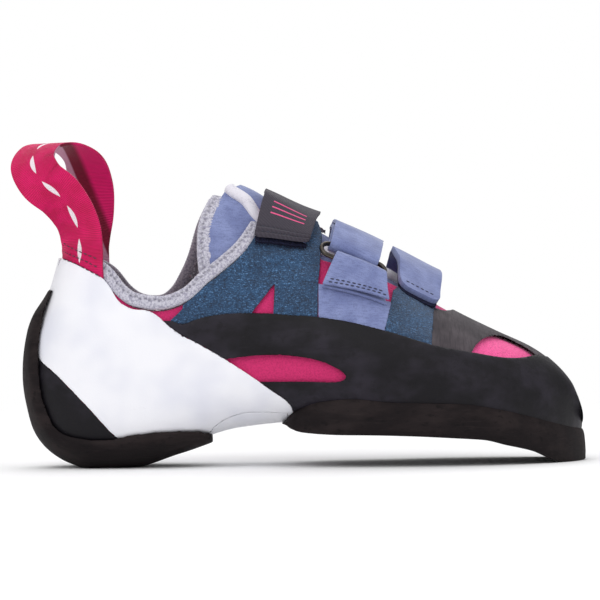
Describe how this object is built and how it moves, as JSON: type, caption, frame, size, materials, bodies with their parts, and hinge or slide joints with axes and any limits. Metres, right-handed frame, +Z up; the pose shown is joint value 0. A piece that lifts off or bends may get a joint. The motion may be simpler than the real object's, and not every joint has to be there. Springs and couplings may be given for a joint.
{
  "type": "climbing shoe",
  "caption": "Right climbing shoe with a turned-down toe, split tongue, rubber band and sole, hook straps over the instep and a ribbon pull loop at the heel.",
  "frame": {"origin": "on the floor, under the middle of the shoe's bounding box", "axes": "+X to the toe, +Y to the inner side of the foot, +Z up"},
  "size_m": [0.2424, 0.0888, 0.1378],
  "materials": {
    "upper": "matte pink suede and mesh",
    "insole": "matte woven lining",
    "tongue": "slate blue brushed fabric",
    "tongue_roll": "smooth pale grey knit",
    "binding": "grey terry",
    "rand": "satin black rubber",
    "toe_patch": "matte charcoal rubber",
    "heel_cup": "satin white rubber",
    "sole": "brown-black rubber with a ground edge",
    "pile": "navy loop pile",
    "slate": "matte slate synthetic leather",
    "tab": "dark moulded rubber",
    "ring": "black plated wire",
    "ribbon": "crimson grosgrain ribbon"
  },
  "bodies": {
    "root": {"upper": "upper", "insole": "insole", "tongue_outer": "tongue", "tongue_inner": "tongue", "tongue_roll": "tongue_roll", "tongue_rear_binding": "binding", "collar_binding": "binding", "rand": "rand", "toe_patch": "toe_patch", "heel_cup": "heel_cup", "arch_wrap": "heel_cup", "heel_rand": "rand", "heel_sole": "sole", "outsole": "sole", "pile_panel_top": "pile", "pile_panel_low": "pile", "pile_panel_inner": "pile", "slate_panel": "slate", "slate_panel_inner": "slate", "strap_top": "slate", "strap_middle": "slate", "strap_low": "slate", "ring_tab": "slate", "strap_top_tab": "tab", "ring": "ring", "pull_loop": "ribbon"}
  },
  "joints": []
}
